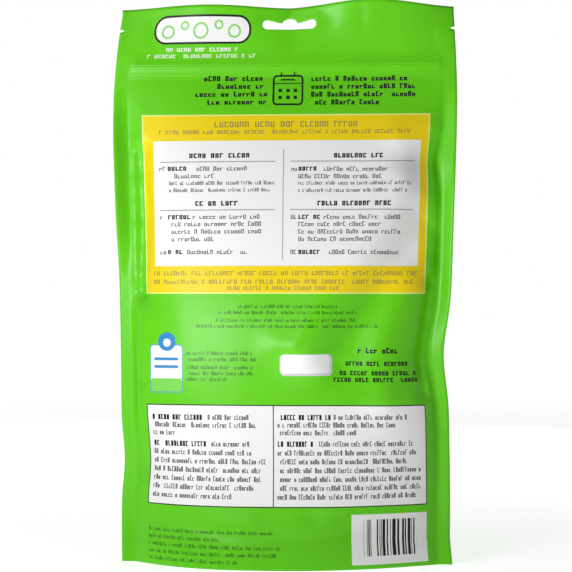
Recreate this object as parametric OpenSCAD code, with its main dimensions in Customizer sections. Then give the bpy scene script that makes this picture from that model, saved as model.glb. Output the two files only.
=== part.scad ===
// A stand-up film pouch, filled and sealed, with a gusset base, a press zip and a hang hole.
// +Z is up, the printed front faces -Y, and the origin is the middle of the base.

/* [Film] */
// Width of the pouch lying flat, over its side seals
film_w = 152.4; // [140:0.2:165]
// Height of the top corners above the table
pouch_h = 246.5; // [238:0.5:256]
// Thickness of the films where they are welded together
weld_t = 0.5; // [0.4:0.05:0.8]
// Width of each side seal
seal_w = 6; // [5:0.25:8]

/* [Filling] */
// Depth of the open base, front to back
base_d = 46; // [38:0.5:50]
// Greatest depth of the filled body
body_d = 44; // [36:0.5:50]
// Height at which the body is deepest
full_z = 55; // [40:1:75]
// How squarely the body fills out below the zip, as the power of its curve
flare = 2.4; // [2:0.1:3]

/* [Zip] */
// From the zip's closing rib up to the top corners
header_h = 25.7; // [23:0.1:30]
// Height of the zip's flat strips
strip_h = 8.7; // [7:0.1:10]
// How far the strips stand out through the film
strip_out = 0.35; // [0.25:0.05:0.6]
// How far the closing rib stands out from its strip
rib_out = 0.7; // [0.4:0.05:1]
// Width of the closing rib
rib_w = 2.2; // [1.6:0.1:3]

/* [Hang hole] */
// Width of the hole
hole_w = 25; // [22:0.5:32]
// Height of the hole's rounded ends
hole_end_h = 4.2; // [3.4:0.1:4.6]
// Height of the hole at its waists, beside the middle arch
hole_waist_h = 2.9; // [2.2:0.1:3.2]
// Height of the middle arch
hole_arch_h = 5; // [4.6:0.1:6]
// Radius of the middle arch
hole_arch_r = 4.2; // [4:0.1:5]
// From the hole's straight lower edge up to the top corners
hole_drop = 9.7; // [9:0.1:11]
// Depth of the tear notches in the side edges
notch_d = 2; // [1:0.1:3]
// Height of the tear notches at their mouth
notch_h = 2.2; // [1.5:0.1:3]

/* [Gusset] */
// Height of the gusset's peaks at the side seals
gusset_h = 36; // [30:0.5:42]
// Height of the base seal in the middle of the front and back
skirt_h = 13.5; // [10:0.5:16]
// Height of the base seal at the side seals
skirt_side_h = 28; // [24:0.5:29]
// Clearance under the gusset's sagging middle
sag_z = 2; // [1.5:0.25:6]

/* [Set of the film] */
// How far the top edge swings back at its middle kink
kink_back = 3; // [1:0.25:4]
// Place of the kink, to the right of the middle
kink_x = 2.7; // [0:0.1:5]
// How far the top edge swings forward from kink to crest, left of the kink
left_swing = 5.5; // [3:0.25:7]
// How far the top edge swings forward from kink to crest, right of the kink
right_swing = 8; // [5:0.25:9]
// Rise of the top edge at its left crest
left_crest = 1.3; // [0.5:0.1:2]
// Rise of the top edge at its right crest
right_crest = 2.6; // [1:0.1:3.5]
// How far the left edge is drawn in at the top by the waves
left_draw = 3.7; // [2:0.1:5]
// How far the right edge is drawn in at the top by the waves
right_draw = 1.6; // [0.5:0.1:3]
// Depth of the pinch in the left edge
left_pinch = 1.5; // [0.5:0.1:2.5]
// Height of the pinch in the left edge
left_pinch_z = 46; // [35:1:60]
// Depth of the pinch in the right edge
right_pinch = 2.8; // [1.5:0.1:4]
// Height of the pinch in the right edge
right_pinch_z = 93; // [80:1:110]
// How far the left edge curls towards the front, in its upper half
left_curl = 3; // [1:0.25:4]
// How far the right edge curls towards the front
right_curl = 3; // [1:0.25:4]
// How far the film tucks in at the table, below the base seal
tuck = 0.9; // [0:0.1:1.5]

/* [Hidden] */

half_film = film_w / 2;
rib_z = pouch_h - header_h;
strip_low = rib_z - 0.54 * strip_h;
strip_high = strip_low + strip_h;
hole_z = pouch_h - hole_drop;
hole_end_r = hole_end_h / 2;
wave_l = half_film - kink_x;
cut_reach = 60;
// Share of its depth, squared over half the film, that an arc of this section loses in width
arc_loss = 0.55;

// Rows of the film from the table to the top edge, closer at the zip
body_rows = 40;
header_rows = 6;
step = 0.35;
rows = concat(
    [for (k = [0:body_rows]) (strip_low - step) * k / body_rows],
    [strip_low, rib_z - rib_w / 2, rib_z, rib_z + rib_w / 2, strip_high],
    [for (k = [0:header_rows]) strip_high + step + (pouch_h - strip_high - step) * k / header_rows]
);
top_row = len(rows) - 1;

// Columns of the film: -1 and 1 are the inner lines of the side seals, -2 and 2 their edges
body_cols = 18;
half_cols = concat(
    [for (k = [1:body_cols]) (k / body_cols + sin(90 * k / body_cols)) / 2],
    [1.5, 2]
);
side_cols = len(half_cols);
cols = concat([for (k = [side_cols - 1:-1:0]) -half_cols[k]], [0], half_cols);
n = len(cols);

// The gusset's pocket reaches from this column to the same one on the right
first_open = 4;
last_open = n - 1 - first_open;
// Steps across the gusset: the rim, the base seal, halfway up, the fold, and back down
open_steps = 7;

// Folds of the front film: a path of [x, z], width, depth into the pouch, and how sharp its line is
front_folds = [
    [[[-70, 208], [-66.5, 190]], 4, 1.2, 0.3],
    [[[-65.5, 176], [-64, 150], [-64.5, 122]], 4.2, 3.2, 0.1],
    [[[70, 213], [58, 206], [45, 199]], 5.5, -2.8, 0.1],
    [[[66, 196], [60, 186], [58, 174]], 4.5, 1.2, 0.1],
    [[[65, 122], [61.5, 100], [61, 82]], 4, 2, 0.2],
    [[[57, 162], [38, 134], [23, 116], [13, 97]], 9.5, -2.6, 0.1],
    [[[52, 134], [40, 108], [27, 90]], 8, 1.5, 0.1],
    [[[-66, 98], [-67, 74]], 5, -1.8, 0.1],
    [[[-58, 60], [-64, 40]], 6, 1.4, 0.3],
    [[[-6, 22], [12, 24]], 5, 1.2, 0.3],
    [[[28, 20], [50, 28]], 6, 1, 0.2]
];
// Folds of the plain back film
back_folds = [
    [[[-54, 202], [-67, 188]], 5, 2.6, 0.4],
    [[[56, 204], [66, 190]], 5, 2.2, 0.4],
    [[[-60, 140], [-57, 96]], 7, 2.2, 0.2],
    [[[60, 72], [56, 108]], 7, 2, 0.2],
    [[[-24, 18], [12, 16]], 5, 1.2, 0.4]
];
// Soft dents in the header: x, z, half width, half height and depth towards the back
header_dents = [
    [19, 243, 4, 6, 0.7],
    [34.5, 242, 4, 5, 0.5],
    [-7, 243, 7, 4.5, 0.6],
    [-58, 238, 4, 9, 0.4],
    [66, 232, 4, 8, 0.4]
];

function bell(v) = exp(-v * v);
function plateau(v) = exp(-pow(v, 4));
function clamp01(v) = max(0, min(1, v));
function side_of(c) = c < 0 ? -1 : 1;
function on_side(c, left, right) = c < 0 ? left : right;

// Half of the pouch's depth at its middle, at one height
function half_depth(z) =
    z < full_z
        ? (base_d + (body_d - base_d) * sin(90 * z / full_z)) / 2
        : body_d / 2 * (1 - pow(min(1, (z - full_z) / (strip_low - full_z)), flare));

// Half of the pouch's width: an arc spans less than its film, and pinches draw it in further
function half_w(c, z) =
    half_film
    - arc_loss * pow(half_depth(z), 2) / half_film
    - on_side(c, left_draw, right_draw) * pow(clamp01((z - strip_low + 12) / (header_h + 14)), 1.5)
    - on_side(c, left_pinch * bell((z - left_pinch_z) / 13), right_pinch * bell((z - right_pinch_z) / 17))
    + on_side(c, 0, 0.5 + 0.4 * clamp01((60 - z) / 30) + 1.2 * clamp01((12 - z) / 12));

// Inner line of a side seal, with the two bends that the right one makes
function seal_bend(z) = 2.4 * bell((z - right_pinch_z - 85) / 9) + 1.4 * bell((z - right_pinch_z) / 15);
function seal_line(c, z) = half_w(c, z) - seal_w - on_side(c, 0, seal_bend(z));

function x_at(c, z) =
    let (inner = seal_line(c, z), a = abs(c))
    a <= 1
        ? c * inner + kink_x * (1 - a)
        : side_of(c) * (inner + (a - 1) * (half_w(c, z) - inner));

// How much of the header's wave has set in at one height
function lift(z) = pow(clamp01((z - strip_high) / (pouch_h - strip_high)), 1.4);
function crest(x) = abs(sin(180 * (x - kink_x) / wave_l));
function wave_y(x, z) =
    lift(z) * (kink_back - on_side(x - kink_x, left_swing, right_swing) * crest(x));
function wave_z(x, z) =
    lift(z) * on_side(x - kink_x, left_crest, right_crest) * pow(crest(x), 2);

function dent(x, z, d) = d[4] * bell((x - d[0]) / d[2]) * bell((z - d[1]) / d[3]);
function dent_y(x, z) = sum([for (d = header_dents) dent(x, z, d)]);

// Middle of the film pair, which the front and back stand off from
function curl_set(c, z) =
    -on_side(c, left_curl * plateau((z - 170) / 32), right_curl * plateau((z - 143) / 60));
function curl_y(c, z) =
    curl_set(c, z) * (abs(c) <= 1 ? -0.3 * pow(abs(c), 8) : 1.3 * (abs(c) - 1) - 0.3);
function middle_y(c, z) = wave_y(x_at(c, z), z) + dent_y(x_at(c, z), z) + curl_y(c, z);

// Blunt pillow section, rounder at the table where the base seal shapes it
function pillow(c, z) =
    let (set = clamp01(z / full_z))
    abs(c) >= 1 ? 0 : pow(1 - pow(abs(c), 2.3), 0.95 - 0.23 * set);
function bulge(c, z) = half_depth(z) * pillow(c, z);

// Height of the base seal across the front, and of the gusset's fold above it
function skirt_z(c) = skirt_h + (skirt_side_h - skirt_h) * c * c;
function fold_z(c) = sag_z + (gusset_h - sag_z) * pow(abs(c), 3);

// The zip's strips and closing rib, between the side seals
function zip_relief(c, z) =
    abs(c) > 1 ? 0
    : (z >= strip_low && z <= strip_high ? strip_out : 0)
        + (abs(z - rib_z) < 0.1 ? rib_out : 0);

// Distance from a point to a path of straight steps
function along(p, a, b) = clamp01((p - a) * (b - a) / ((b - a) * (b - a)));
function away(p, a, b) = norm(p - a - along(p, a, b) * (b - a));
function nearest(p, path) = min([for (k = [1:len(path) - 1]) away(p, path[k - 1], path[k])]);
function fold(p, f) =
    let (v = nearest(p, f[0]) / f[1])
    f[2] * ((1 - f[3]) * bell(v) + f[3] * exp(-1.6 * v));
function sum(list, k = 0) = k < len(list) ? list[k] + sum(list, k + 1) : 0;
function folds(x, z, list) = sum([for (f = list) fold([x, z], f)]);

// How far one film stands off the middle: filling, zip, the base seal's ledge, the tuck and the folds
function inward(c, z, list) =
    folds(x_at(c, z), z, list)
    + 0.5 * bell((z - skirt_z(c)) / 4)
    + tuck * pow(clamp01((11 - z) / 11), 2);
function stand_off(c, z, list) =
    let (full = bulge(c, z))
    weld_t / 2 + full + zip_relief(c, z) - inward(c, z, list) * clamp01(full / 6);

function film_point(c, z, front) =
    let (x = x_at(c, z), off = stand_off(c, z, front ? front_folds : back_folds))
    [x, middle_y(c, z) + (front ? -off : off), z + wave_z(x, z)];

// Inside of the gusset at one column: share is 1 at the front or back film and 0 at the fold
function open_point(c, z, share) =
    [x_at(c, z), middle_y(c, z) + share * (stand_off(c, z, []) - weld_t - 0.3), z];
function open_row(c) = [
    open_point(c, 0, -1),
    open_point(c, skirt_z(c), -1),
    open_point(c, (skirt_z(c) + fold_z(c)) / 2 + 1, -0.5),
    open_point(c, fold_z(c), 0),
    open_point(c, (skirt_z(c) + fold_z(c)) / 2 + 1, 0.5),
    open_point(c, skirt_z(c), 1),
    open_point(c, 0, 1)
];

film_points = [
    for (z = rows, front = [true, false], c = cols) film_point(c, z, front)
];
open_points = [for (i = [first_open:last_open]) each open_row(cols[i])];

// Places in the list of points
function fr(i, k) = 2 * n * k + i;
function bk(i, k) = 2 * n * k + n + i;
function op(i, j) = len(film_points) + (i - first_open) * open_steps + j;
function quad(a, b, c, d) = [[a, b, c], [a, c, d]];

film_faces = [
    for (k = [0:top_row - 1]) each [
        for (i = [0:n - 2]) each concat(
            quad(fr(i, k), fr(i, k + 1), fr(i + 1, k + 1), fr(i + 1, k)),
            quad(bk(i, k), bk(i + 1, k), bk(i + 1, k + 1), bk(i, k + 1))
        ),
        each quad(bk(0, k), bk(0, k + 1), fr(0, k + 1), fr(0, k)),
        each quad(fr(n - 1, k), fr(n - 1, k + 1), bk(n - 1, k + 1), bk(n - 1, k))
    ]
];
top_faces = [
    for (i = [0:n - 2])
        each quad(fr(i, top_row), bk(i, top_row), bk(i + 1, top_row), fr(i + 1, top_row))
];
last_step = open_steps - 1;
corner_faces = [
    for (i = [0:first_open - 2]) each quad(fr(i, 0), fr(i + 1, 0), bk(i + 1, 0), bk(i, 0)),
    for (i = [last_open + 1:n - 2]) each quad(fr(i, 0), fr(i + 1, 0), bk(i + 1, 0), bk(i, 0)),
    each concat(
        quad(fr(first_open - 1, 0), fr(first_open, 0), op(first_open, 0), op(first_open, last_step)),
        quad(fr(first_open - 1, 0), op(first_open, last_step), bk(first_open, 0), bk(first_open - 1, 0)),
        quad(bk(last_open + 1, 0), bk(last_open, 0), op(last_open, last_step), op(last_open, 0)),
        quad(bk(last_open + 1, 0), op(last_open, 0), fr(last_open, 0), fr(last_open + 1, 0))
    )
];
gusset_faces = [
    for (i = [first_open:last_open - 1]) each concat(
        quad(fr(i, 0), fr(i + 1, 0), op(i + 1, 0), op(i, 0)),
        quad(op(i, last_step), op(i + 1, last_step), bk(i + 1, 0), bk(i, 0)),
        [for (j = [0:last_step - 1]) each quad(op(i, j), op(i + 1, j), op(i + 1, j + 1), op(i, j + 1))]
    )
];
// The pocket's narrow ends, as fans from the gusset's peaks
peak = 3;
end_faces = [
    for (j = [0:last_step])
        if (j != peak && (j + 1) % open_steps != peak)
            each [
                [op(first_open, peak), op(first_open, j), op(first_open, (j + 1) % open_steps)],
                [op(last_open, peak), op(last_open, (j + 1) % open_steps), op(last_open, j)]
            ]
];

// Outline of the hang hole above its straight lower edge: rounded ends, waists and an arch
module hole_outline() {
    end_x = hole_w / 2 - hole_end_r;
    difference() {
        union() {
            for (side = [-1, 1])
                translate([side * end_x, hole_end_r]) circle(r = hole_end_r, $fn = 48);
            polygon([
                [-end_x, 0], [-end_x, hole_end_h], [0, 2 * hole_waist_h - hole_end_h],
                [end_x, hole_end_h], [end_x, 0]
            ]);
            translate([0, hole_arch_h - hole_arch_r]) circle(r = hole_arch_r, $fn = 64);
        }
        translate([-hole_w, -hole_w]) square([2 * hole_w, hole_w]);
    }
}

module through_cut() {
    rotate([90, 0, 0]) linear_extrude(height = cut_reach, center = true) children();
}

module tear_notch(c) {
    edge = side_of(c) * half_w(c, hole_z);
    translate([edge, 0, hole_z])
        through_cut()
            polygon([
                [side_of(c), notch_h / 2], [-side_of(c) * notch_d, 0], [side_of(c), -notch_h / 2]
            ]);
}

module pouch() {
    color([0.42, 0.80, 0.19])
        difference() {
            polyhedron(
                points = concat(film_points, open_points),
                faces = concat(film_faces, top_faces, corner_faces, gusset_faces, end_faces),
                convexity = 8
            );
            translate([0, 0, hole_z]) through_cut() hole_outline();
            tear_notch(-1);
            tear_notch(1);
        }
}

pouch();
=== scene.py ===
import math

import bmesh
import bpy
import numpy as np
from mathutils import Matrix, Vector


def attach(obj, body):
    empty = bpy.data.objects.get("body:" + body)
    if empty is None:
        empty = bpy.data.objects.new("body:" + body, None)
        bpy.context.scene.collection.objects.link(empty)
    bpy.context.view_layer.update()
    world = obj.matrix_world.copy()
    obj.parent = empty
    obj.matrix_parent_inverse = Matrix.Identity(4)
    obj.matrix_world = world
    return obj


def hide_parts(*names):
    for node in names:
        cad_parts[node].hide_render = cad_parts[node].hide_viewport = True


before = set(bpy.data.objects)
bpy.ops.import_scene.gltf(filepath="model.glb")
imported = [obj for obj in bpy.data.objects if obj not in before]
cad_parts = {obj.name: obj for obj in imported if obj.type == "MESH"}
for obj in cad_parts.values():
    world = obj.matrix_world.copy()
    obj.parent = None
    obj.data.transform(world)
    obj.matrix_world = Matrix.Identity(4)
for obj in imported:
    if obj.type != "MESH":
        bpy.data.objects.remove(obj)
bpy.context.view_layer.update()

mm = 0.001


def bell(v):
    return np.exp(-v * v)


def plateau(v):
    return np.exp(-v ** 4)


def share(v):
    return np.clip(v, 0.0, 1.0)


def easeIn(v):  # 0 to 1 with flat ends
    t = share(v)
    return t * t * (3 - 2 * t)


# The film's lie, in mm: c is -1 and 1 at the inner lines of the side seals, -2 and 2 at the edges.
# Pairs are for the left and right side
pouch = {
    "filmWidth": 152.4,
    "height": 246.5,  # of the flat films
    "weld": 0.5,  # both films in a seal
    "sealWidth": 6.0,
    "baseDepth": 46.0,
    "bodyDepth": 44.0,
    "fullHeight": 55.0,  # where the base has become the body
    "flare": 2.4,  # how late the body thins towards the zip
    "swell": 2.3,  # how wide the sections stay full
    "rim": 0.95,  # how sharply they end at the seals
    "blunt": (0.28, 0.36),  # how much rounder they end above the base
    "skew": 0.12,  # how far the fullest line lies to the left
    "skewTop": 140.0,
    "skewReach": 60.0,
    "header": 25.7,  # from the zip's rib to the top
    "stripHeight": 8.7,
    "stripEdge": 0.8,  # slope at the strip's edges
    "stripOut": 0.3,
    "ribShare": 0.54,  # of the strip that is below the rib
    "ribOut": 0.55,
    "ribWidth": 1.5,
    "stripFade": 0.015,  # where the strips run into the side seals
    "kinkBack": 3.0,  # the header's fold, behind the seals
    "kinkX": 2.7,  # where that fold is
    "swing": (5.5, 8.0),  # how far the header waves forward
    "crestRise": (1.3, 2.6),  # its crests over the flat height
    "arcDraw": 0.55,  # edges drawn in by the body's arc
    "topDraw": (3.7, 1.6),  # edges drawn in by the header's wave
    "topDrawBelow": 12.0,  # its start below the strip
    "topDrawReach": 39.7,
    "pinch": (1.5, 2.8),  # waists of the outline
    "pinchZ": (46.0, 93.0),
    "pinchReach": (13.0, 17.0),
    "spread": 0.5,  # right edge further out
    "curl": (-4.0, -3.0),  # side seals turned forward
    "curlShare": 0.3,  # of that in the panel beside them
    "curlZ": (170.0, 143.0),
    "curlReach": (32.0, 60.0),
    "skirt": 13.5,  # gusset weld at the middle
    "skirtSide": 28.0,  # and at the side seals
    "ledge": 0.5,  # film pulled in along that weld
    "ledgeReach": 3.0,
    "tuck": 0.9,  # lower rim turned in
    "tuckTop": 11.0,
    "gussetPeak": 36.0,  # fold at the side seals
    "gussetSag": 2.0,  # and at the middle
    "thin": 6.0,  # half thickness under which folds fade
}
ribZ = pouch["height"] - pouch["header"]
stripLow = ribZ - pouch["ribShare"] * pouch["stripHeight"]
stripHigh = stripLow + pouch["stripHeight"]
halfFilm = pouch["filmWidth"] / 2


# Changes along the height: place, reach and size
sealBends = ((178.0, 9.0, 2.4), (93.0, 15.0, 1.4))  # of the right seal's inner line
drawnUp = ((66.0, 34.0, 0.9), (193.0, 18.0, -0.5))  # film over the belly and at the shoulder
footSpread = ((60.0, 30.0, 0.4), (12.0, 12.0, 1.2))  # right edge, growing downwards from the place


def humps(z, shapes):
    return sum(size * bell((z - at) / reach) for at, reach, size in shapes)


def onSide(c, pair):
    return np.where(c < 0, pair[0], pair[1])


def halfDepth(z):
    full, base, body = pouch["fullHeight"], pouch["baseDepth"], pouch["bodyDepth"]
    low = (base + (body - base) * np.sin(np.pi / 2 * share(z / full))) / 2
    high = body / 2 * (1 - share((z - full) / (stripLow - full)) ** pouch["flare"])
    return np.where(z < full, low, high)


def halfWidth(c, z):  # an arc spans less than its film, and pinches draw it in further
    arc = pouch["arcDraw"] * halfDepth(z) ** 2 / halfFilm
    top = share((z - stripLow + pouch["topDrawBelow"]) / pouch["topDrawReach"]) ** 1.5
    pinchAt = (z - onSide(c, pouch["pinchZ"])) / onSide(c, pouch["pinchReach"])
    foot = sum(size * share((at - z) / reach) for at, reach, size in footSpread)
    spread = np.where(c < 0, 0, pouch["spread"] + foot)
    drawn = onSide(c, pouch["topDraw"]) * top + onSide(c, pouch["pinch"]) * bell(pinchAt)
    return halfFilm - arc - drawn + spread


def acrossX(c, z):  # the right seal's inner line bends inward twice
    inner, a = halfWidth(c, z) - pouch["sealWidth"], np.abs(c)
    bend = np.where(c < 0, 0, humps(z, sealBends))
    within = c * inner + pouch["kinkX"] * (1 - a) - bend * np.minimum(a, 1) ** 12
    inSeal = np.sign(c) * (inner + (a - 1) * pouch["sealWidth"]) - bend * (2 - a)
    return np.where(a <= 1, within, inSeal)


def lift(z):  # how much of the header's wave has set in
    return share((z - stripHigh) / (pouch["height"] - stripHigh)) ** 1.4


def crest(x):
    return np.abs(np.sin(np.pi * (x - pouch["kinkX"]) / (halfFilm - pouch["kinkX"])))


# Soft dents pressed into the header: x, z, half width, half height, depth
headerDents = [
    (19.0, 243.0, 4.0, 6.0, 0.7),
    (34.5, 242.0, 2.6, 5.0, 0.5),
    (-7.0, 243.0, 7.0, 4.5, 0.6),
    (-58.0, 238.0, 3.0, 9.0, 0.4),
    (66.0, 232.0, 2.0, 8.0, 0.4),
]


def dentY(x, z):
    total = np.zeros_like(x)
    for dx, dz, halfX, halfZ, depth in headerDents:
        total += depth * bell((x - dx) / halfX) * bell((z - dz) / halfZ)
    return total


def middleY(c, z):
    x = acrossX(c, z)
    wave = lift(z) * (pouch["kinkBack"] - onSide(x - pouch["kinkX"], pouch["swing"]) * crest(x))
    curlAt = (z - onSide(c, pouch["curlZ"])) / onSide(c, pouch["curlReach"])
    curl = onSide(c, pouch["curl"]) * plateau(curlAt)
    a, part = np.abs(c), pouch["curlShare"]
    turned = np.where(a <= 1, -part * a ** 8, (1 + part) * (a - 1) - part)
    return wave + dentY(x, z) + curl * turned


def pillow(c, z):  # fullest a little to the left, low on the pouch
    skew = pouch["skew"] * share((pouch["skewTop"] - z) / pouch["skewReach"])
    a = np.minimum(np.abs(c + skew * (1 - c * c)), 1)
    blunt = onSide(c, pouch["blunt"]) * share(z / pouch["fullHeight"])
    return (1 - a ** pouch["swell"]) ** (pouch["rim"] - blunt)


def riseZ(c, z):  # the crests of the top edge, and film drawn up over the belly
    x = acrossX(c, z)
    drawn = humps(z, drawnUp) * pillow(c, z)
    return lift(z) * onSide(x - pouch["kinkX"], pouch["crestRise"]) * crest(x) ** 2 + drawn


def skirtZ(c):
    return pouch["skirt"] + (pouch["skirtSide"] - pouch["skirt"]) * c * c


def gussetZ(c):
    return pouch["gussetSag"] + (pouch["gussetPeak"] - pouch["gussetSag"]) * np.abs(c) ** 3


# Folds of the films: paths of x and z, width, depth into the pouch, and how sharp the line is
folds = {
    "front": [
        (((-70, 208), (-66.5, 190)), 2.4, 1.4, 0.5),
        (((-67, 210), (-63.5, 201), (-63.5, 192)), 2.6, -1.0, 0.2),
        (((-68.5, 182), (-64, 188)), 2.2, -0.8, 0.2),
        (((-68.6, 180), (-68, 152), (-68.6, 122)), 1.9, -2.0, 0),
        (((-64.4, 182), (-63, 152), (-63.8, 120)), 4.6, 5.2, 0),
        (((77, 206), (67, 196), (52, 190)), 8.0, -2.0, 0),
        (((66, 188), (61, 178), (59, 168)), 4.5, 1.0, 0),
        (((65.5, 124), (62.5, 104), (60.5, 90), (62, 76)), 3.2, 3.2, 0.2),
        (((53, 124), (45, 104), (45, 74)), 9.0, -2.6, 0),
        (((52, 168), (34, 140), (19, 118), (8, 97)), 11.0, -5.0, 0),
        (((62, 150), (50, 132), (37, 110), (25, 90)), 7.5, 3.6, 0),
        (((-66, 98), (-67, 74)), 5.0, -1.8, 0),
        (((-58, 60), (-64, 40)), 6, 1.4, 0.3),
        (((-6, 22), (12, 24)), 5, 1.2, 0.3),
        (((28, 20), (50, 28)), 6, 1.0, 0.2),
    ],
    "back": [
        (((-54, 202), (-67, 188)), 5, 2.6, 0.4),
        (((56, 204), (66, 190)), 5, 2.2, 0.4),
        (((-60, 140), (-57, 96)), 7, 2.2, 0.2),
        (((60, 72), (56, 108)), 7, 2.0, 0.2),
        (((-24, 18), (12, 16)), 5, 1.2, 0.4),
    ],
}


creaseFall = 1.6  # how fast a sharp fold's sides fall, in widths


def foldDepth(x, z, side):
    total = np.zeros_like(x)
    for path, width, depth, sharp in folds[side]:
        nearest = np.full_like(x, 1e6)
        for (ax, az), (bx, bz) in zip(path, path[1:]):
            dx, dz = bx - ax, bz - az
            t = share(((x - ax) * dx + (z - az) * dz) / (dx * dx + dz * dz))
            nearest = np.minimum(nearest, np.hypot(x - ax - t * dx, z - az - t * dz))
        away = nearest / width
        total += depth * ((1 - sharp) * bell(away) + sharp * np.exp(-creaseFall * away))
    return total


# Small ripples that run in from the side seals
pucker = {"depth": 0.22, "reach": 0.12, "waves": ((0.19, 0.4), (0.33, 1.9), (0.61, 4.1)),
          "backShift": 2.3, "sideShift": 1.7}


def puckerDepth(c, z, side):
    shift = (0.0 if side == "front" else pucker["backShift"]) + pucker["sideShift"] * np.sign(c)
    wave = sum(np.sin(rate * z + start + shift) for rate, start in pucker["waves"])
    return pucker["depth"] * wave * bell((1 - np.abs(c)) / pucker["reach"]) * (np.abs(c) < 1)


def zipRelief(c, z):
    edge = pouch["stripEdge"]
    strip = easeIn((z - stripLow + edge) / edge) * easeIn((stripHigh + edge - z) / edge)
    rib = bell((z - ribZ) / pouch["ribWidth"])
    inside = easeIn((1 - np.abs(c)) / pouch["stripFade"])
    return inside * (pouch["stripOut"] * strip + pouch["ribOut"] * rib)


def standOff(c, z, side):
    full = halfDepth(z) * pillow(c, z) * (np.abs(c) < 1)
    ledge = pouch["ledge"] * bell((z - skirtZ(c)) / pouch["ledgeReach"])
    tuck = pouch["tuck"] * share((pouch["tuckTop"] - z) / pouch["tuckTop"]) ** 2
    inward = foldDepth(acrossX(c, z), z, side) + ledge + puckerDepth(c, z, side) + tuck
    return pouch["weld"] / 2 + full + zipRelief(c, z) - inward * share(full / pouch["thin"])


def filmPlace(c, z, side):
    away = -1 if side == "front" else 1
    x = acrossX(c, z)
    return np.stack([x, middleY(c, z) + away * standOff(c, z, side), z + riseZ(c, z)], axis=-1)


def newObject(name, bm):
    mesh = bpy.data.meshes.new(name)
    bm.to_mesh(mesh)
    bm.free()
    obj = bpy.data.objects.new(name, mesh)
    bpy.context.scene.collection.objects.link(obj)
    return obj


def applyModifiers(obj):
    graph = bpy.context.evaluated_depsgraph_get()
    mesh = bpy.data.meshes.new_from_object(obj.evaluated_get(graph), depsgraph=graph)
    obj.modifiers.clear()
    obj.data = mesh


# Flat film: s across from the middle line, h up from the lower edge, both in mm. The film's map has
# its outer face at the left and its inner face at the right
sheet = {"cell": 1.25, "thick": 0.22, "mapWidth": 0.84, "innerLow": 0.86, "innerWidth": 0.13}
hole = {"drop": 9.7, "width": 24.6, "endHeight": 4.1, "waistHeight": 2.8, "waistEase": (1.2, 0.15),
        "archHeight": 4.9, "archRadius": 4.1}
notch = {"depth": 2.0, "height": 2.2, "tip": (0.4, 0.25), "past": 1.0}


def columnOf(s):
    a, inner = np.abs(s), halfFilm - pouch["sealWidth"]
    return np.sign(s) * np.where(a <= inner, a / inner, 1 + (a - inner) / pouch["sealWidth"])


def arcPoints(x, z, radius, first, last, steps):  # angles in degrees
    angles = [math.radians(first + (last - first) * k / steps) for k in range(steps + 1)]
    return [(x + radius * math.cos(angle), z + radius * math.sin(angle)) for angle in angles]


def holeOutline():  # a slot with round ends and an arch over its middle
    w, r, waist = hole["width"] / 2, hole["endHeight"] / 2, hole["waistHeight"]
    archZ = hole["archHeight"] - hole["archRadius"]
    waistX = math.sqrt(hole["archRadius"] ** 2 - (waist - archZ) ** 2)
    easeX, easeZ = waistX + hole["waistEase"][0], waist + hole["waistEase"][1]
    first = math.degrees(math.atan2(waist - archZ, waistX))
    rightEnd = arcPoints(w - r, r, r, -90, 90, 12)
    arch = arcPoints(0, archZ, hole["archRadius"], first, 180 - first, 12)
    leftEnd = arcPoints(-w + r, r, r, 90, 270, 12)
    return rightEnd + [(easeX, easeZ)] + arch + [(-easeX, easeZ)] + leftEnd


def addCutter(bm, points, x, z):  # a prism through the flat film, which lies in the XZ plane
    verts = [bm.verts.new((px + x, -5, pz + z)) for px, pz in points]
    face = bm.faces.new(verts)
    made = bmesh.ops.extrude_face_region(bm, geom=[face])
    moved = [v for v in made["geom"] if isinstance(v, bmesh.types.BMVert)]
    bmesh.ops.translate(bm, verts=moved, vec=(0, 10, 0))


def cutFlatFilm(obj):
    bm = bmesh.new()
    z = pouch["height"] - hole["drop"]
    addCutter(bm, holeOutline(), 0, z)
    tipX, tipZ = notch["tip"][0] - notch["depth"], notch["tip"][1]
    h, past = notch["height"] / 2, notch["past"]
    outline = [(past, -h), (tipX, -tipZ), (-notch["depth"], 0), (tipX, tipZ), (past, h)]
    for side in (-1, 1):
        addCutter(bm, [(side * px, pz) for px, pz in outline], side * halfFilm, z)
    bmesh.ops.recalc_face_normals(bm, faces=bm.faces)
    cutter = newObject("cutter", bm)
    modifier = obj.modifiers.new("cut", "BOOLEAN")
    modifier.object = cutter
    modifier.operation = "DIFFERENCE"
    modifier.solver = "EXACT"
    applyModifiers(obj)
    bpy.data.objects.remove(cutter)
    return obj


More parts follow.
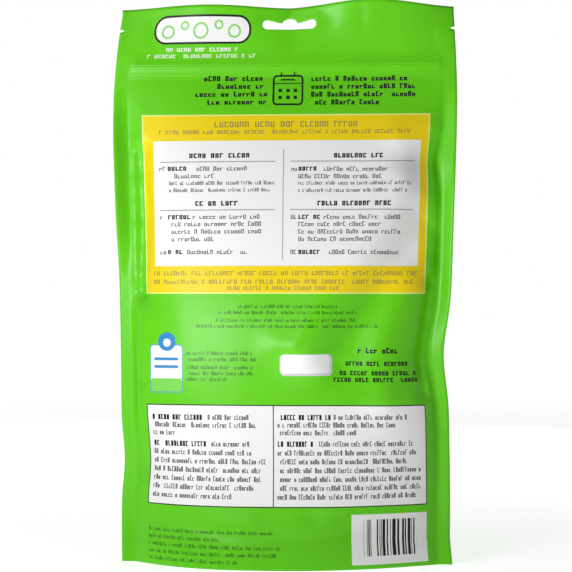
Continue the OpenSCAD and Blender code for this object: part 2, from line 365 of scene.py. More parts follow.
def filmSheet(name, side):
    wide, high = pouch["filmWidth"], pouch["height"]
    bm = bmesh.new()
    bmesh.ops.create_grid(
        bm, x_segments=round(wide / sheet["cell"]), y_segments=round(high / sheet["cell"]), size=0.5)
    bmesh.ops.scale(bm, verts=bm.verts, vec=(wide, high, 1))
    for v in bm.verts:
        v.co = Vector((v.co.x, 0, v.co.y + high / 2))
    flat = cutFlatFilm(newObject(name, bm))
    bm = bmesh.new()
    bm.from_mesh(flat.data)
    walls = [v for v in bm.verts if abs(v.co.y) > 0.01]  # what the cutter leaves beside the film
    bmesh.ops.delete(bm, geom=walls, context="VERTS")
    bmesh.ops.triangulate(bm, faces=[f for f in bm.faces if len(f.verts) > 4])
    bm.normal_update()
    wrong = sum(f.normal.y * f.calc_area() for f in bm.faces) * (1 if side == "front" else -1) > 0
    if wrong:
        bmesh.ops.reverse_faces(bm, faces=bm.faces)
    uv = bm.loops.layers.uv.new("OFBake")
    for face in bm.faces:
        for loop in face.loops:
            s, h = loop.vert.co.x, loop.vert.co.z
            loop[uv].uv = ((s / wide + 0.5) * sheet["mapWidth"], h / high)
    co = np.array([v.co for v in bm.verts])
    placed = filmPlace(columnOf(co[:, 0]), co[:, 2], side)
    for v, p in zip(bm.verts, placed):
        v.co = p * mm
    for face in bm.faces:
        face.smooth = True
    bm.to_mesh(flat.data)
    bm.free()
    thicken(flat, sheet["thick"] * mm)
    print(name, len(flat.data.polygons), "faces")
    return flat


def thicken(obj, thickness):
    obj.data.materials.clear()
    for k in range(3):
        obj.data.materials.append(None)
    modifier = obj.modifiers.new("thickness", "SOLIDIFY")
    modifier.thickness = thickness
    modifier.offset = -1
    modifier.use_even_offset = False
    modifier.material_offset = 1
    modifier.material_offset_rim = 2
    applyModifiers(obj)
    layer = obj.data.uv_layers["OFBake"].data
    for face in obj.data.polygons:
        if face.material_index == 1:
            for k in face.loop_indices:
                layer[k].uv.x = sheet["innerLow"] + sheet["innerWidth"] * layer[k].uv.x


# The gusset: a strip welded inside both skirts, its fold opened down to the table at the middle
gusset = {"columns": 120, "rows": 56, "reach": 0.985, "skirtShare": 0.36, "inset": 0.55, "round": 1.7,
          "rimHeight": 0.4, "open": 0.9, "leastGap": 0.02}


def gussetPlace(c, w):  # w is -1 at the front rim, 0 at the fold and 1 at the back rim
    a, edge = np.abs(w), 1 - gusset["skirtShare"]
    t = share(a / edge)
    down = share((a - edge) / gusset["skirtShare"])
    free = gussetZ(c) + (skirtZ(c) - gussetZ(c)) * t ** gusset["round"]
    z = np.where(a < edge, free, skirtZ(c) * (1 - down) + gusset["rimHeight"] * down)
    out = np.sin(np.pi / 2 * t) ** gusset["open"]
    off = np.where(w < 0, standOff(c, z, "front"), standOff(c, z, "back")) - gusset["inset"]
    y = middleY(c, z) + np.sign(w) * out * np.maximum(off, gusset["leastGap"])
    return np.stack([acrossX(c, z), y, z], axis=-1)


def gussetSheet(name):
    bm = bmesh.new()
    bmesh.ops.create_grid(bm, x_segments=gusset["columns"], y_segments=gusset["rows"], size=1)
    co = np.array([v.co for v in bm.verts])
    for v, p in zip(bm.verts, gussetPlace(co[:, 0] * gusset["reach"], co[:, 1])):
        v.co = p * mm
    for face in bm.faces:
        face.smooth = True
    bm.normal_update()
    if sum(f.normal.z * f.calc_area() for f in bm.faces) > 0:  # its printed side looks down
        bmesh.ops.reverse_faces(bm, faces=bm.faces)
    obj = newObject(name, bm)
    modifier = obj.modifiers.new("thickness", "SOLIDIFY")
    modifier.thickness = sheet["thick"] * mm
    modifier.offset = -1
    applyModifiers(obj)
    print(name, len(obj.data.polygons), "faces")
    return obj


# Shader nodes, from small steps to the film's groups
def link(tree, socket, value):
    if isinstance(value, bpy.types.NodeSocket):
        tree.links.new(value, socket)
    elif isinstance(value, tuple) and socket.type == "RGBA":
        socket.default_value = (*value, 1)[:4]
    else:
        socket.default_value = value


def addNode(tree, kind, inputs, **settings):
    node = tree.nodes.new(kind)
    for key, value in settings.items():
        setattr(node, key, value)
    for key, value in inputs.items():
        link(tree, node.inputs[key], value)
    return node


def calc(tree, operation, *values, clamp=False):
    node = tree.nodes.new("ShaderNodeMath")
    node.operation = operation
    node.use_clamp = clamp
    for socket, value in zip(node.inputs, values):
        link(tree, socket, value)
    return node.outputs[0]


def calcVector(tree, operation, *values):
    node = tree.nodes.new("ShaderNodeVectorMath")
    node.operation = operation
    for socket, value in zip(node.inputs, values):
        link(tree, socket, value)
    return node.outputs["Value"] if operation in ("LENGTH", "DOT_PRODUCT") else node.outputs["Vector"]


mixSockets = {"FLOAT": (2, 3, 0), "VECTOR": (4, 5, 1), "RGBA": (6, 7, 2)}


def mix(tree, kind, factor, a, b):
    node = tree.nodes.new("ShaderNodeMix")
    node.data_type = kind
    first, second, out = mixSockets[kind]
    link(tree, node.inputs[0], factor)
    link(tree, node.inputs[first], a)
    link(tree, node.inputs[second], b)
    return node.outputs[out]


def split(tree, vector):
    return addNode(tree, "ShaderNodeSeparateXYZ", {"Vector": vector}).outputs


def newGroup(name, inputs, outputs):
    tree = bpy.data.node_groups.new(name, "ShaderNodeTree")
    for key, kind in inputs.items():
        tree.interface.new_socket(key, in_out="INPUT", socket_type="NodeSocket" + kind)
    for key, kind in outputs.items():
        tree.interface.new_socket(key, in_out="OUTPUT", socket_type="NodeSocket" + kind)
    return tree, tree.nodes.new("NodeGroupInput").outputs, tree.nodes.new("NodeGroupOutput").inputs


def useGroup(tree, group, **inputs):
    node = tree.nodes.new("ShaderNodeGroup")
    node.node_tree = group
    for key, value in inputs.items():
        link(tree, node.inputs[key], value)
    return node.outputs


def whiteNoise(tree, x, y):
    at = addNode(tree, "ShaderNodeCombineXYZ", {"X": x, "Y": y}).outputs[0]
    return addNode(tree, "ShaderNodeTexWhiteNoise", {"Vector": at}, noise_dimensions="2D").outputs


inkEdge = 8.0  # how sharp a printed edge is: it fades over 1/8 mm


def boxGroup():  # a sharp printed box
    tree, given, out = newGroup(
        "printedBox", {"Place": "Vector", "Centre": "Vector", "Half": "Vector"}, {"Mask": "Float"})
    away = calcVector(tree, "ABSOLUTE", calcVector(tree, "SUBTRACT", given["Place"], given["Centre"]))
    x, y, z = split(tree, calcVector(tree, "SUBTRACT", away, given["Half"]))
    edge = calc(tree, "MAXIMUM", calc(tree, "MAXIMUM", x, y), z)
    link(tree, out["Mask"], calc(tree, "MULTIPLY_ADD", edge, -inkEdge, 0.5, clamp=True))
    return tree


def roundedGroup():  # a printed shape with round corners, filled or drawn as a line
    tree, given, out = newGroup(
        "printedRound",
        {"Place": "Vector", "Centre": "Vector", "Core": "Vector", "Corner": "Float", "Line": "Float"},
        {"Mask": "Float"})
    away = calcVector(tree, "ABSOLUTE", calcVector(tree, "SUBTRACT", given["Place"], given["Centre"]))
    past = calcVector(tree, "SUBTRACT", away, given["Core"])
    outside = calcVector(tree, "LENGTH", calcVector(tree, "MAXIMUM", past, (0, 0, 0)))
    x, y, z = split(tree, past)
    inside = calc(tree, "MINIMUM", calc(tree, "MAXIMUM", calc(tree, "MAXIMUM", x, y), z), 0.0)
    edge = calc(tree, "SUBTRACT", calc(tree, "ADD", outside, inside), given["Corner"])
    half = calc(tree, "MULTIPLY", given["Line"], 0.5)
    edge = calc(tree, "SUBTRACT", calc(tree, "ABSOLUTE", calc(tree, "ADD", edge, half)), half)
    link(tree, out["Mask"], calc(tree, "MULTIPLY_ADD", edge, -inkEdge, 0.5, clamp=True))
    return tree


def rowGroup():  # passes on where the point lies in a row of print, in half heights
    tree, given, out = newGroup(
        "printedRow",
        {"Place": "Vector", "Scale": "Vector", "Shift": "Vector", "Reach": "Vector", "Cells": "Vector"},
        {"Cells": "Vector"})
    here = calcVector(tree, "MULTIPLY_ADD", given["Place"], given["Scale"], given["Shift"])
    past = calcVector(tree, "MULTIPLY", calcVector(tree, "ABSOLUTE", here), given["Reach"])
    outside = calcVector(tree, "DOT_PRODUCT", calcVector(tree, "FLOOR", past), (1, 1, 1))
    link(tree, out["Cells"], mix(tree, "VECTOR", outside, here, given["Cells"]))
    return tree


# Stand-in print: run is the cells from gap to gap, low the top of a low cell in half heights, middle
# and half place a cell's strokes in it, and the rest are shares of the cells or of a stem's width
strokes = {"run": 6.0, "low": 0.38, "middle": 0.45, "half": 0.4, "oneStem": 0.45, "bothBars": 0.4,
           "topBar": 0.72, "barWidth": 0.84}


def strokeGroup():  # stems and bars in cells with gaps, which stand in for fine print
    tree, given, out = newGroup(
        "printedStrokes", {"Cells": "Vector", "Pitch": "Float", "Tall": "Float", "Stem": "Float"},
        {"Mask": "Float"})
    x, y, row = split(tree, given["Cells"])
    step = calc(tree, "DIVIDE", x, given["Pitch"])
    first, second, third = split(tree, whiteNoise(tree, calc(tree, "FLOOR", step), row)["Color"])

    run = calc(tree, "DIVIDE", step, strokes["run"])
    here = calc(tree, "FLOOR", calc(tree, "MULTIPLY", calc(tree, "FRACT", run), strokes["run"]))
    gapAt = calc(tree, "MULTIPLY", whiteNoise(tree, calc(tree, "FLOOR", run), row)["Value"], strokes["run"])
    isGap = calc(tree, "COMPARE", here, calc(tree, "FLOOR", gapAt), 0.5)

    isTall = calc(tree, "LESS_THAN", second, given["Tall"])
    top = calc(tree, "MULTIPLY_ADD", isTall, 1 - strokes["low"], strokes["low"])
    across = calc(tree, "SUBTRACT", calc(tree, "FRACT", step), strokes["middle"])
    fromMiddle = calc(tree, "ABSOLUTE", across)
    isOpen = calc(tree, "LESS_THAN", first, strokes["oneStem"])  # the right stem is left out
    isOpen = calc(tree, "MULTIPLY", calc(tree, "GREATER_THAN", across, 0.0), isOpen)
    stem = calc(tree, "GREATER_THAN", fromMiddle, calc(tree, "SUBTRACT", strokes["half"], given["Stem"]))
    stem = calc(tree, "MULTIPLY", stem, calc(tree, "SUBTRACT", 1.0, isOpen))

    fromCentre = calc(tree, "SUBTRACT", y, calc(tree, "MULTIPLY_ADD", top, 0.5, -0.5))
    reach = calc(tree, "MULTIPLY_ADD", top, 0.5, 0.5)
    toEnd = calc(tree, "SUBTRACT", reach, calc(tree, "ABSOLUTE", fromCentre))
    stemWide = calc(tree, "MULTIPLY", given["Stem"], given["Pitch"])
    barTall = calc(tree, "MULTIPLY", stemWide, strokes["barWidth"])
    atTop = calc(tree, "GREATER_THAN", third, strokes["topBar"])
    oneEnd = calc(tree, "COMPARE", atTop, calc(tree, "GREATER_THAN", fromCentre, 0.0), 0.5)
    atEnd = calc(tree, "MAXIMUM", calc(tree, "LESS_THAN", third, strokes["bothBars"]), oneEnd)
    bar = calc(tree, "MULTIPLY", calc(tree, "LESS_THAN", toEnd, barTall), atEnd)

    within = calc(tree, "LESS_THAN", fromMiddle, strokes["half"])
    within = calc(tree, "MULTIPLY", within, calc(tree, "LESS_THAN", y, top))
    shape = calc(tree, "MULTIPLY", calc(tree, "MAXIMUM", stem, bar), within)
    link(tree, out["Mask"], calc(tree, "MULTIPLY", shape, calc(tree, "SUBTRACT", 1.0, isGap)))
    return tree


# The film's surface: the scale of each noise, and how high it stands in mm
filmGrain = {"fineScale": 900.0, "fineHeight": 0.006, "softScale": 75.0, "softHeight": 0.12}


def grainGroup():  # height of the film's faint orange peel and of slack patches, in mm
    tree, given, out = newGroup("filmGrain", {"Point": "Vector"}, {"Height": "Float", "Patch": "Float"})
    point, fineScale, softScale = given["Point"], filmGrain["fineScale"], filmGrain["softScale"]
    fine = addNode(tree, "ShaderNodeTexNoise", {
        "Vector": point, "Scale": fineScale, "Detail": 1.0}).outputs["Fac"]
    soft = addNode(tree, "ShaderNodeTexNoise", {
        "Vector": point, "Scale": softScale, "Detail": 2.0, "Distortion": 0.4}).outputs["Fac"]
    height = calc(tree, "MULTIPLY", soft, filmGrain["softHeight"])
    link(tree, out["Height"], calc(tree, "MULTIPLY_ADD", fine, filmGrain["fineHeight"], height))
    link(tree, out["Patch"], soft)
    return tree


# Grooves across the zip: height, half width and depth in mm
zipGrooves = ((224.8, 0.35, 0.05), (220.9, 0.45, 0.13), (216.2, 0.35, 0.07))
# Side seals, in mm: the ribs of the sealing bars, and the line where the seal ends
sealFinish = {"ribPitch": 0.75, "ribHeight": 0.012, "fade": 0.5, "lineHalf": 0.4, "lineDepth": 0.05}


def groove(tree, at, middle, half, depth):
    away = calc(tree, "DIVIDE", calc(tree, "ABSOLUTE", calc(tree, "SUBTRACT", at, middle)), half)
    return calc(tree, "MULTIPLY", calc(tree, "SUBTRACT", 1.0, away, clamp=True), -depth)


def sealGroup():  # height of the side seals' fine ribs and inner line, and of the zip's grooves, in mm
    tree, given, out = newGroup("sealRibs", {"Place": "Vector"}, {"Height": "Float"})
    s, h, z = split(tree, given["Place"])
    across = calc(tree, "ABSOLUTE", s)
    inner = halfFilm - pouch["sealWidth"]
    fade = 1 / sealFinish["fade"]
    inSeal = calc(tree, "MULTIPLY_ADD", across, fade, 0.4 - fade * inner, clamp=True)
    wave = calc(tree, "SINE", calc(tree, "MULTIPLY", s, 2 * math.pi / sealFinish["ribPitch"]))
    height = calc(tree, "MULTIPLY", calc(tree, "MULTIPLY", wave, sealFinish["ribHeight"]), inSeal)
    sealLine = groove(tree, across, inner, sealFinish["lineHalf"], sealFinish["lineDepth"])
    height = calc(tree, "ADD", height, sealLine)
    isPanel = calc(tree, "LESS_THAN", across, inner)
    for middle, half, depth in zipGrooves:
        line = calc(tree, "MULTIPLY", groove(tree, h, middle, half, depth), isPanel)
        height = calc(tree, "ADD", height, line)
    link(tree, out["Height"], height)
    return tree


# Inks as the film's maker would mix them, in linear colour
inks = {
    "green": (0.114, 0.570, 0.004),
    "yellow": (0.82, 0.62, 0.006),
    "paleLine": (0.80, 0.84, 0.30),
    "white": (0.83, 0.83, 0.83),
    "black": (0.002, 0.002, 0.002),
    "grey": (0.03, 0.03, 0.03),
    "rule": (0.26, 0.26, 0.27),
    "ochre": (0.33, 0.25, 0.06),
    "forest": (0.012, 0.09, 0.003),
    "blue": (0.03, 0.24, 0.55),
    "teal": (0.05, 0.40, 0.30),
    "leaf": (0.20, 0.62, 0.09),
    "chalk": (0.74, 0.80, 0.66),
    "shade": (0.60, 0.59, 0.62),
}

# Printed boxes, in the order that they are laid down: ink, left, right, low and high, in mm
plainShapes = [
    ("paleLine", -63.7, 64.3, 119.4, 199.0),
    ("yellow", -63.2, 63.8, 119.9, 198.5),
    ("white", -58.7, 60.4, 131.6, 187.2),
    ("rule", -2.25, -1.9, 134.2, 183.4),
    ("rule", -55.9, -5.6, 177.5, 177.9),
    ("rule", 1.0, 58.0, 177.5, 177.9),
    ("rule", -56.0, -5.6, 155.9, 156.3),
    ("rule", 1.0, 57.6, 155.9, 156.3),
    ("black", -63.4, 65.6, 26.9, 70.7),
    ("white", -62.95, 65.15, 27.4, 70.2),
    ("black", -6.1, -5.65, 27.4, 70.2),
    ("white", 30.1, 65.5, 1.9, 23.7),
    ("black", -3.9, -3.3, 216.2, 217.9),
    ("black", 1.9, 2.5, 216.2, 217.9),
    ("black", -7.0, 6.0, 212.6, 213.0),
]
for row in (209.6, 206.5):
    for column in (-4.0, -0.65, 2.7):
        plainShapes.append(("black", column - 0.75, column + 0.75, row - 0.75, row + 0.75))
# Shapes with round corners: as above, with the corner's radius and the line's width, 0 where filled
plate = {"left": -60.6, "right": -17.2, "low": 230.4, "high": 242.6, "corner": 5.6, "edge": 0.9}
tag = {"left": -61.8, "right": -45.9, "low": 75.6, "high": 97.2, "corner": 2.0, "edge": 0.6}
roundShapes = [
    ("black", plate["left"], plate["right"], plate["low"], plate["high"], plate["corner"], 0),
    ("white", plate["left"] + plate["edge"], plate["right"] - plate["edge"], plate["low"] + plate["edge"],
     plate["high"] - plate["edge"], 4.8, 0),
    ("black", -7.3, 6.3, 203.0, 216.6, 2.0, 0.85),
    ("black", -3.9, 2.3, 214.1, 214.8, 0.35, 0),
    ("white", tag["left"], tag["right"], tag["low"], tag["high"], tag["corner"], 0),
    ("leaf", -61.2, -46.5, 76.2, 82.0, 1.2, 0),
    ("blue", -59.6, -48.2, 90.0, 91.2, 0.6, 0),
    ("blue", -59.6, -48.2, 86.6, 87.8, 0.6, 0),
    ("teal", tag["left"], tag["right"], tag["low"], tag["high"], tag["corner"], tag["edge"]),
    ("blue", -57.6, -49.4, 94.2, 102.4, 4.1, 0),
    ("white", -55.3, -51.7, 96.0, 99.6, 1.8, 0),
    ("shade", -3.0, 21.9, 83.4, 93.0, 2.2, 0),
    ("white", -2.8, 20.6, 84.5, 92.8, 2.0, 0),
]
plateRings = ((-54.2, 235.6, 2.9), (-46.9, 238.2, 1.9), (-39.6, 236.0, 3.4), (-31.6, 238.4, 2.0),
              (-24.6, 235.8, 2.9))
for x, z, r in plateRings:
    roundShapes.append(("leaf", x - r, x + r, z - r, z + r, r, 0.8))


def rowsFrom(left, rights, top, step, tall):
    return [(left, right, top - k * step, tall) for k, right in enumerate(rights)]


def rowsTo(right, lefts, top, step, tall):
    return [(left, right, top - k * step, tall) for k, left in enumerate(lefts)]


# Blocks of stand-in print: pitch is a cell's width in half heights, tall the share of tall cells and
# stem a stem's share of its cell. Each row has its left, right, middle height and how tall it is
printBlocks = {
    "headline": {"ink": "black", "pitch": 1.6, "tall": 0.35, "stem": 0.37, "rows": (
        rowsTo(-11.0, (-37.2, -33.1, -42.4, -35.3), 215.2, 3.53, 2.3)
        + rowsFrom(9.8, (55.0, 55.9, 57.6, 43.4), 214.9, 3.53, 2.3)
        + [(34.3, 54.6, 94.6, 2.5)])},
    "heads": {"ink": "black", "pitch": 1.8, "tall": 1.0, "stem": 0.36, "rows": [
        (-42.9, -17.8, 180.5, 2.1), (16.9, 43.9, 180.3, 2.1), (-40.3, -20.2, 159.0, 2.1),
        (11.6, 48.1, 158.9, 2.1), (-52.4, -42.3, 174.7, 1.9), (-52.5, -42.5, 153.1, 1.9),
        (-52.7, -45.2, 137.7, 1.9), (4.6, 15.0, 174.3, 1.9), (4.8, 15.3, 152.9, 1.9),
        (5.0, 16.6, 137.6, 1.9), (28.4, 60.3, 88.8, 1.9), (25.4, 61.8, 84.6, 1.9),
        (22.4, 64.6, 81.7, 1.9)]},
    "lowHeads": {"ink": "black", "pitch": 1.2, "tall": 1.0, "stem": 0.4, "rows": [
        (-60.8, -36.5, 65.1, 2.3), (-60.8, -35.0, 53.7, 2.3), (-4.1, 20.5, 65.3, 2.3),
        (-4.1, 13.5, 53.9, 2.3)]},
    "body": {"ink": "grey", "pitch": 1.55, "tall": 0.35, "stem": 0.27, "rows": [
        (-41.2, -19.0, 174.6, 1.9), (-52.4, -32.0, 171.3, 1.9), (-41.4, -10.6, 153.1, 1.9),
        (-52.5, -11.9, 150.0, 1.9), (-52.5, -10.6, 146.7, 1.9), (-52.5, -31.5, 143.4, 1.9),
        (-44.0, -17.1, 137.7, 1.9), (-56.2, -54.8, 174.7, 1.9), (-56.2, -54.8, 153.1, 1.9),
        (-56.2, -54.8, 137.7, 1.9), (16.2, 46.2, 174.2, 1.9), (4.6, 42.1, 170.9, 1.9),
        (16.5, 52.9, 152.9, 1.9), (4.8, 43.2, 149.8, 1.9), (4.9, 52.6, 146.5, 1.9),
        (4.9, 40.6, 143.3, 1.9), (17.8, 54.3, 137.6, 1.9), (1.3, 2.7, 174.2, 1.9),
        (1.3, 2.7, 152.9, 1.9), (1.3, 2.7, 137.6, 1.9)]},
    "small": {"ink": "grey", "pitch": 1.2, "tall": 0.35, "stem": 0.32, "rows": [
        (-51.8, -6.0, 168.1, 1.6), (-51.8, -7.3, 165.0, 1.6), (4.6, 56.7, 167.9, 1.6),
        (4.6, 53.7, 164.7, 1.6)]},
    "lowBody": {"ink": "grey", "pitch": 0.98, "tall": 0.35, "stem": 0.36, "rows": (
        [(-35.0, -16.0, 65.2, 2.2), (-60.9, -12.6, 61.8, 2.2), (-60.9, -51.0, 58.4, 2.2),
         (-33.8, -15.5, 53.8, 2.2)]
        + rowsFrom(-61.0, (-16.4, -9.5, -11.4, -11.4, -13.8, -25.2), 50.1, 3.72, 2.2)
        + [(22.0, 56.8, 65.4, 2.2), (-4.1, 52.0, 62.1, 2.2), (-4.1, 33.6, 58.8, 2.2),
           (15.0, 59.2, 54.0, 2.2)]
        + rowsFrom(-4.1, (60.8, 56.5, 63.2, 62.7, 62.6, 61.4), 50.2, 3.72, 2.2))},
    "onYellow": {"ink": "ochre", "pitch": 1.75, "tall": 0.9, "stem": 0.27, "rows": [
        (-32.1, 33.1, 194.6, 2.5), (-56.2, 57.7, 191.2, 1.7), (-59.4, 60.2, 128.4, 1.8),
        (-59.5, 59.4, 124.7, 1.8), (-27.6, 26.2, 121.9, 1.6)]},
    "onGreen": {"ink": "forest", "pitch": 1.15, "tall": 0.4, "stem": 0.3, "rows": (
        [(-21.4, 23.5, 113.9, 1.4), (-30.0, 32.1, 111.3, 1.4), (-31.0, 33.4, 107.9, 1.4),
         (-40.2, 43.7, 105.3, 1.4)]
        + rowsFrom(-44.4, (-14.2, -12.5), 93.3, 2.7, 1.6)
        + rowsFrom(-44.4, (-14.7, -15.2, -26.7), 87.0, 2.6, 1.6)
        + rowsFrom(-62.8, (-6.6, -30.5, -2.3, -3.8, -21.0), 16.1, 3.2, 1.5))},
    "chalk": {"ink": "chalk", "pitch": 2.0, "tall": 1.0, "stem": 0.29, "rows": [
        (-54.6, -23.7, 228.0, 1.6), (-62.7, -15.2, 225.2, 1.6)]},
}
bars = {"left": 35.8, "right": 60.4, "low": 5.6, "high": 21.4, "module": 0.33, "gaps": 0.42}
anyDepth = 9  # the film's map has no depth, so this lets all of it through
filled = 900.0  # a line wider than any printed shape


def boxOf(left, right, low, high):
    return ((left + right) / 2, (low + high) / 2, 0), ((right - left) / 2, (high - low) / 2, anyDepth)


def filmMap(tree):  # the film's own map, turned into s and h in mm
    at = addNode(tree, "ShaderNodeUVMap", {}, uv_map="OFBake").outputs[0]
    scale = (pouch["filmWidth"] / sheet["mapWidth"], pouch["height"], 0)
    return calcVector(tree, "MULTIPLY_ADD", at, scale, (-halfFilm, 0, 0))


# Heights that part the print into bands, each with a material of its own, so that each stays quick
bands = (0, 25, 72, 117, 201, pouch["height"] + 1)


def printLayers(tree, place, colour, low, high):
    def inBand(bottom, top):
        return low <= (bottom + top) / 2 < high

    for ink, *edges in plainShapes:
        if not inBand(*edges[2:]):
            continue
        centre, half = boxOf(*edges)
        mask = useGroup(tree, groups["box"], Place=place, Centre=centre, Half=half)[0]
        colour = mix(tree, "RGBA", mask, colour, inks[ink])
    for ink, left, right, bottom, top, corner, line in roundShapes:
        if not inBand(bottom, top):
            continue
        centre, half = boxOf(left, right, bottom, top)
        core = (half[0] - corner, half[1] - corner, anyDepth)
        mask = useGroup(
            tree, groups["round"], Place=place, Centre=centre, Core=core, Corner=corner,
            Line=line or filled)[0]
        colour = mix(tree, "RGBA", mask, colour, inks[ink])
    for block in printBlocks.values():
        pitch = block["pitch"]
        rows = [(number, row) for number, row in enumerate(block["rows"]) if inBand(row[2], row[2])]
        if not rows:
            continue
        cells = (0, 9, 0)  # above any row, so that nothing is drawn there
        for number, (left, right, middle, tall) in rows:
            k = 2 / tall
            half = max(1, round((right - left) / tall / pitch)) * pitch  # a whole number of cells
            cells = useGroup(
                tree, groups["row"], Place=place, Scale=(k, k, 0), Reach=(1 / half, 1, 0), Cells=cells,
                Shift=(-k * left - half, -k * middle, number + 1.5))[0]
        mask = useGroup(
            tree, groups["strokes"], Cells=cells, Pitch=pitch, Tall=block["tall"], Stem=block["stem"])[0]
        colour = mix(tree, "RGBA", mask, colour, inks[block["ink"]])
    return barCode(tree, place, colour) if inBand(bars["low"], bars["high"]) else colour


def barCode(tree, place, colour):
    s = split(tree, place)[0]
    column = calc(tree, "FLOOR", calc(tree, "DIVIDE", s, bars["module"]))
    noise = addNode(tree, "ShaderNodeTexWhiteNoise", {"W": column}, noise_dimensions="1D").outputs["Value"]
    centre, half = boxOf(bars["left"], bars["right"], bars["low"], bars["high"])
    within = useGroup(tree, groups["box"], Place=place, Centre=centre, Half=half)[0]
    mask = calc(tree, "MULTIPLY", within, calc(tree, "GREATER_THAN", noise, bars["gaps"]))
    return mix(tree, "RGBA", mask, colour, inks["black"])


# How the film shines, and how much its colour and roughness swing over its slack patches
filmFinish = {"roughness": 0.26, "roughSwing": 0.06, "colourSwing": 0.12, "bump": 0.7, "specular": 0.2}


def filmMaterial(name, band=None, mapped=True):
    material = bpy.data.materials.new(name)
    material.use_nodes = True
    tree = material.node_tree
    shader = tree.nodes["Principled BSDF"]
    point = addNode(tree, "ShaderNodeTexCoord", {}).outputs["Object"]
    grain = useGroup(tree, groups["grain"], Point=point)
    swing = filmFinish["colourSwing"]
    patch = calc(tree, "MULTIPLY_ADD", grain["Patch"], swing, 1 - swing / 2)
    colour = calcVector(tree, "SCALE", inks["green"])
    link(tree, colour.node.inputs["Scale"], patch)
    height = grain["Height"]
    if mapped:
        place = filmMap(tree)
        height = calc(tree, "ADD", height, useGroup(tree, groups["seal"], Place=place)[0])
        if band:
            colour = printLayers(tree, place, colour, *band)
    link(tree, shader.inputs["Base Color"], colour)
    swing = filmFinish["roughSwing"]
    rough = calc(tree, "MULTIPLY_ADD", grain["Patch"], swing, filmFinish["roughness"] - swing / 2)
    link(tree, shader.inputs["Roughness"], rough)
    shader.inputs["Specular IOR Level"].default_value = filmFinish["specular"]
    bump = addNode(tree, "ShaderNodeBump", {"Strength": filmFinish["bump"], "Distance": mm, "Height": height})
    link(tree, shader.inputs["Normal"], bump.outputs[0])
    return material


def giveBands(obj, materials):
    first = len(obj.data.materials)
    for material in materials:
        obj.data.materials.append(material)
    layer = obj.data.uv_layers["OFBake"].data
    for face in obj.data.polygons:
        if face.material_index == 0:
            h = sum(layer[k].uv.y for k in face.loop_indices) / face.loop_total * pouch["height"]
            face.material_index = first + sum(h >= level for level in bands[1:-1])


liningFinish = {"dull": (0.62, 0.63, 0.62), "pale": (0.74, 0.75, 0.73), "roughness": 0.35, "bump": 0.6}


def liningMaterial():  # the sealing layer inside the films
    material = bpy.data.materials.new("lining")
    material.use_nodes = True
    tree = material.node_tree
    shader = tree.nodes["Principled BSDF"]
    point = addNode(tree, "ShaderNodeTexCoord", {}).outputs["Object"]
    grain = useGroup(tree, groups["grain"], Point=point)
    colour = mix(tree, "RGBA", grain["Patch"], liningFinish["dull"], liningFinish["pale"])
    link(tree, shader.inputs["Base Color"], colour)
    shader.inputs["Roughness"].default_value = liningFinish["roughness"]
    bump = addNode(tree, "ShaderNodeBump", {
        "Strength": liningFinish["bump"], "Distance": mm, "Height": grain["Height"]})
    link(tree, shader.inputs["Normal"], bump.outputs[0])
    return material


# The camera stands at the photograph's place, and its frame is the photograph's 572 pixels
camera = {"distance": 750.0, "turn": 3.75, "height": 123.2, "focalPixels": 1689.0, "frame": 572,
          "axisPixel": (283.86, 285.2), "sensor": 36}


def placeCamera():
    data = bpy.data.cameras.new("camera")
    obj = bpy.data.objects.new("camera", data)
    bpy.context.scene.collection.objects.link(obj)
    turn = math.radians(camera["turn"])
    obj.location = Vector((math.sin(turn), -math.cos(turn), 0)) * camera["distance"] * mm
    obj.location.z = camera["height"] * mm
    obj.rotation_euler = (math.radians(90), 0, turn)
    data.sensor_width = camera["sensor"]
    data.lens = camera["focalPixels"] / camera["frame"] * data.sensor_width
    data.shift_x = (camera["frame"] / 2 - camera["axisPixel"][0]) / camera["frame"]
    data.shift_y = (camera["axisPixel"][1] - camera["frame"] / 2) / camera["frame"]
    bpy.context.scene.camera = obj


placeCamera()
front = filmSheet("frontFilm", "front")
back = filmSheet("backFilm", "back")
underside = gussetSheet("gussetFilm")

groups = {
    "box": boxGroup(), "round": roundedGroup(), "row": rowGroup(), "strokes": strokeGroup(),
    "grain": grainGroup(), "seal": sealGroup(),
}
printedFilms = [filmMaterial("printedFilm" + str(k), band=bands[k:k + 2]) for k in range(len(bands) - 1)]
plainFilm = filmMaterial("plainFilm")
gussetGreen = filmMaterial("gussetGreen", mapped=False)
lining = liningMaterial()
print("materials made, print has", [len(m.node_tree.nodes) for m in printedFilms], "nodes")

for piece in (front, back):
    piece.data.materials[0] = plainFilm
    piece.data.materials[1] = lining
    piece.data.materials[2] = plainFilm
giveBands(front, printedFilms)
underside.data.materials.append(gussetGreen)
for piece in (front, back, underside):
    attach(piece, "root")
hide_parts("pouch")

# White floor and surround, sizes in m. Near and far are what is seen of the floor's white under the
# pouch and from the clear distance on, glow is its bounce, and the sky's strengths light the object
stage = {"half": 3.0, "floorWhite": 0.85, "glow": 0.5, "near": 0.70, "far": 1.0, "clear": 1.1,
         "skyLow": 0.05, "skyHigh": 0.01, "skyRise": 1.6}


def seenDirectly(tree):  # 1 for camera, glossy and transmission rays
    path = addNode(tree, "ShaderNodeLightPath", {}).outputs
    mirrored = calc(tree, "MAXIMUM", path["Is Glossy Ray"], path["Is Transmission Ray"])
    return calc(tree, "MAXIMUM", path["Is Camera Ray"], mirrored)


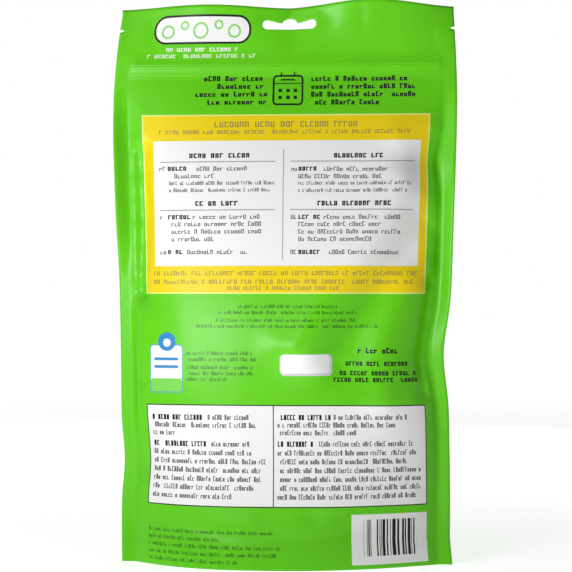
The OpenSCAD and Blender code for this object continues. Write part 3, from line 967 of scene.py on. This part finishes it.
def whiteFloor():
    bm = bmesh.new()
    bmesh.ops.create_grid(bm, x_segments=1, y_segments=1, size=stage["half"])
    floor = newObject("floor", bm)
    material = bpy.data.materials.new("floorWhite")
    material.use_nodes = True
    tree = material.node_tree
    shader = tree.nodes["Principled BSDF"]
    shader.inputs["Base Color"].default_value = (*[stage["floorWhite"]] * 3, 1)
    shader.inputs["Roughness"].default_value = 0.9
    shader.inputs["Specular IOR Level"].default_value = 0.0
    shader.inputs["Emission Color"].default_value = (1, 1, 1, 1)
    point = addNode(tree, "ShaderNodeTexCoord", {}).outputs["Object"]
    away = calc(tree, "DIVIDE", calcVector(tree, "LENGTH", point), stage["clear"])
    seen = mix(tree, "FLOAT", away, stage["near"], stage["far"])
    glow = mix(tree, "FLOAT", seenDirectly(tree), stage["glow"], seen)
    link(tree, shader.inputs["Emission Strength"], glow)
    floor.data.materials.append(material)


def whiteSurround():
    world = bpy.data.worlds.new("world")
    bpy.context.scene.world = world
    world.use_nodes = True
    tree = world.node_tree
    background = tree.nodes["Background"]
    up = split(tree, addNode(tree, "ShaderNodeTexCoord", {}).outputs["Generated"])[2]
    rise = calc(tree, "MULTIPLY", up, stage["skyRise"], clamp=True)
    level = mix(tree, "FLOAT", rise, stage["skyLow"], stage["skyHigh"])
    link(tree, background.inputs["Strength"], mix(tree, "FLOAT", seenDirectly(tree), level, 1.0))
    background.inputs["Color"].default_value = (1, 1, 1, 1)


# Softboxes: place and target in m, width and height, power in W
softboxes = {
    "keyLeft": ((-0.37, -0.38, 0.33), (0, 0, 0.12), (0.40, 0.34), 0.55),
    "sheenLeft": ((-0.27, -0.48, 0.15), (0, 0, 0.12), (0.30, 0.08), 1.3),
    "floorCard": ((-0.08, -0.26, 0.01), (-0.08, -0.26, 1), (0.50, 0.32), 0.6),
    "backFill": ((0.15, 0.60, 0.40), (0, 0, 0.16), (0.50, 0.50), 1.4),
}


def areaLight(name, place, target, size, power):
    data = bpy.data.lights.new(name, "AREA")
    data.shape = "RECTANGLE"
    data.size, data.size_y = size
    data.energy = power
    obj = bpy.data.objects.new(name, data)
    bpy.context.scene.collection.objects.link(obj)
    obj.location = place
    obj.rotation_euler = (Vector(target) - Vector(place)).to_track_quat("-Z", "Y").to_euler()
    obj.visible_camera = False


whiteFloor()
whiteSurround()
for name, values in softboxes.items():
    areaLight(name, *values)
print("stage and lights set")

bpy.context.scene.view_settings.view_transform = "Standard"
